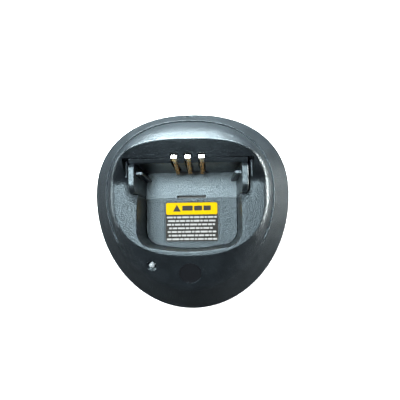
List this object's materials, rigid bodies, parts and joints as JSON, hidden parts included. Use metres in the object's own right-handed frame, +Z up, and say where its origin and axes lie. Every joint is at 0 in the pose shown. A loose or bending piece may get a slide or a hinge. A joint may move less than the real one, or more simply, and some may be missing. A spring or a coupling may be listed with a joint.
{
  "type": "two-way radio charging cradle",
  "caption": "Desktop charging cradle for a hand-held two-way radio: egg-shaped black housing with a pocket, guide ears and sprung contacts.",
  "frame": {"origin": "on the table, under the middle of the cradle's overall box", "axes": "+Z up, +Y to the rear (the side with the power inlet), +X to the right as seen from the front"},
  "size_m": [0.115, 0.115, 0.0488],
  "materials": {
    "housing": "fine spark-eroded black",
    "insert": "fine spark-eroded black",
    "base": "fine textured black",
    "label": "printed, satin film over it",
    "badge": "smooth black",
    "lens": "clear moulded lens",
    "component": "moulded black",
    "rating": "silver-grey film",
    "board": "green solder mask",
    "pin": "nickel plated",
    "copper_coil": "enamelled copper wire",
    "capacitor": "sleeved can",
    "contact": "gold over nickel",
    "foot": "matt black rubber",
    "screw": "zinc plated"
  },
  "bodies": {
    "root": {"top_housing": "housing", "pocket_insert": "insert", "base_plate": "base", "pocket_label": "label", "blank_badge_disc": "badge", "led_light_pipe": "lens", "contact_carrier": "component", "rating_label": "rating", "circuit_board": "board", "dc_inlet_body": "component", "dc_inlet_pin": "pin", "indicator_led": "lens", "choke_coil": "copper_coil", "input_capacitor": "capacitor", "output_capacitor": "capacitor", "charge_transistor": "component", "controller_chip": "component", "blocking_diode": "component", "contact_terminal_left": "contact", "contact_terminal_centre": "contact", "contact_terminal_right": "contact", "rubber_foot_rear_left": "foot", "housing_screw_rear_left": "screw", "rubber_foot_rear_right": "foot", "housing_screw_rear_right": "screw", "rubber_foot_front_left": "foot", "housing_screw_front_left": "screw", "rubber_foot_front_right": "foot", "housing_screw_front_right": "screw", "board_screw_1": "screw", "board_screw_2": "screw", "board_screw_3": "screw"},
    "leaf_left": {"contact_leaf_left": "contact"},
    "leaf_centre": {"contact_leaf_centre": "contact"},
    "leaf_right": {"contact_leaf_right": "contact"}
  },
  "joints": [
    {"name": "contact_spring_left", "type": "hinge", "parent": "root", "child": "leaf_left", "pos_m": [-0.0067, 0.0236, 0.0434], "axis": [1, 0, 0], "range_deg": [0, 4.5], "stiffness_Nm_per_rad": 0.4, "springref_deg": -2.86},
    {"name": "contact_spring_centre", "type": "hinge", "parent": "root", "child": "leaf_centre", "pos_m": [0, 0.0236, 0.0434], "axis": [1, 0, 0], "range_deg": [0, 4.5], "stiffness_Nm_per_rad": 0.4, "springref_deg": -2.86},
    {"name": "contact_spring_right", "type": "hinge", "parent": "root", "child": "leaf_right", "pos_m": [0.0067, 0.0236, 0.0434], "axis": [1, 0, 0], "range_deg": [0, 4.5], "stiffness_Nm_per_rad": 0.4, "springref_deg": -2.86}
  ]
}
